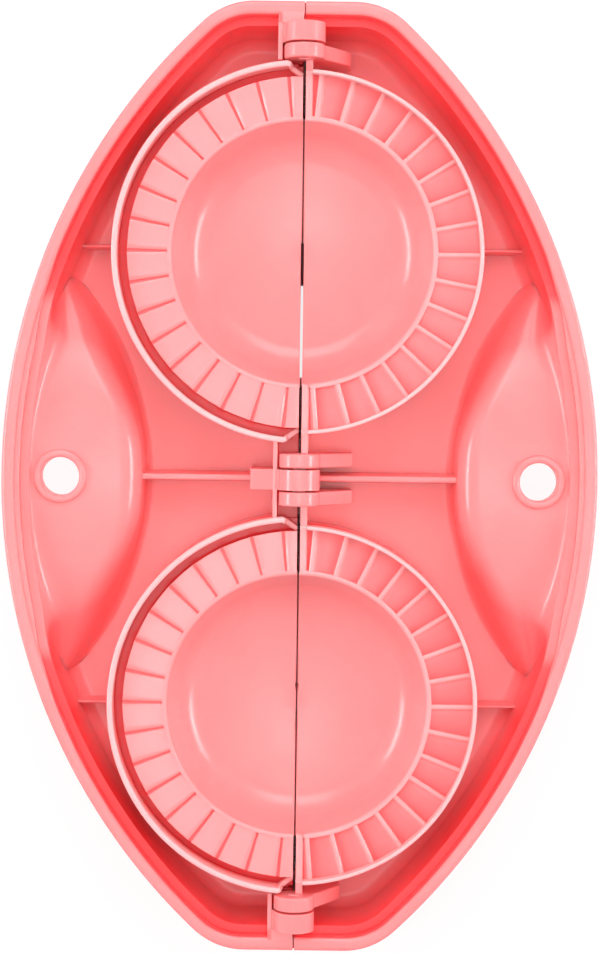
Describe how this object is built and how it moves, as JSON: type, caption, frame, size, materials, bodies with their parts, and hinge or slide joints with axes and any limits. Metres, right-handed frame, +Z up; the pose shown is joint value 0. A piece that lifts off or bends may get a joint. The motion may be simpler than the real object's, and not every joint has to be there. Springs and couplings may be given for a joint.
{
  "type": "double ravioli mould press",
  "caption": "Hinged ravioli and dumpling press lying open: two leaf-shaped half trays, each with half cups ringed by pleats, that fold shut to crimp filled dough.",
  "frame": {"origin": "centre of the flat underside, below the middle of the hinge", "axes": "+Y along the hinge to the upper end, +X across to the right half, +Z up out of the cups"},
  "size_m": [0.135, 0.215, 0.0276],
  "materials": {
    "coral_plastic": "glossy injection-moulded food plastic, coral pink, faint flow marks",
    "hinge_pin_plastic": "smooth plastic pin in the same coral pink"
  },
  "bodies": {
    "left_half": {"left_tray": "coral_plastic", "left_rim": "coral_plastic", "left_thumb_rest": "coral_plastic", "left_hanging_eyelet": "coral_plastic", "left_centre_rib": "coral_plastic", "left_upper_side_rib": "coral_plastic", "left_lower_side_rib": "coral_plastic", "left_upper_bowl": "coral_plastic", "left_lower_bowl": "coral_plastic", "left_upper_pleat_ring": "coral_plastic", "left_lower_pleat_ring": "coral_plastic", "left_upper_guard_wall": "coral_plastic", "left_lower_guard_wall": "coral_plastic", "left_top_knuckle": "coral_plastic", "left_middle_knuckle": "coral_plastic", "left_bottom_knuckle": "coral_plastic"},
    "right_half": {"right_tray": "coral_plastic", "right_rim": "coral_plastic", "right_thumb_rest": "coral_plastic", "right_hanging_eyelet": "coral_plastic", "right_centre_rib": "coral_plastic", "right_upper_side_rib": "coral_plastic", "right_lower_side_rib": "coral_plastic", "right_upper_bowl": "coral_plastic", "right_lower_bowl": "coral_plastic", "right_upper_pleat_ring": "coral_plastic", "right_lower_pleat_ring": "coral_plastic", "right_upper_guard_wall": "coral_plastic", "right_lower_guard_wall": "coral_plastic", "right_top_ear": "coral_plastic", "right_middle_ears": "coral_plastic", "right_bottom_ear": "coral_plastic", "top_hinge_pin": "hinge_pin_plastic", "middle_hinge_pin": "hinge_pin_plastic", "bottom_hinge_pin": "hinge_pin_plastic"}
  },
  "joints": [
    {"name": "fold", "type": "hinge", "parent": "left_half", "child": "right_half", "pos_m": [0, 0, 0.023], "axis": [0, -1, 0], "range_deg": [0, 180]}
  ]
}
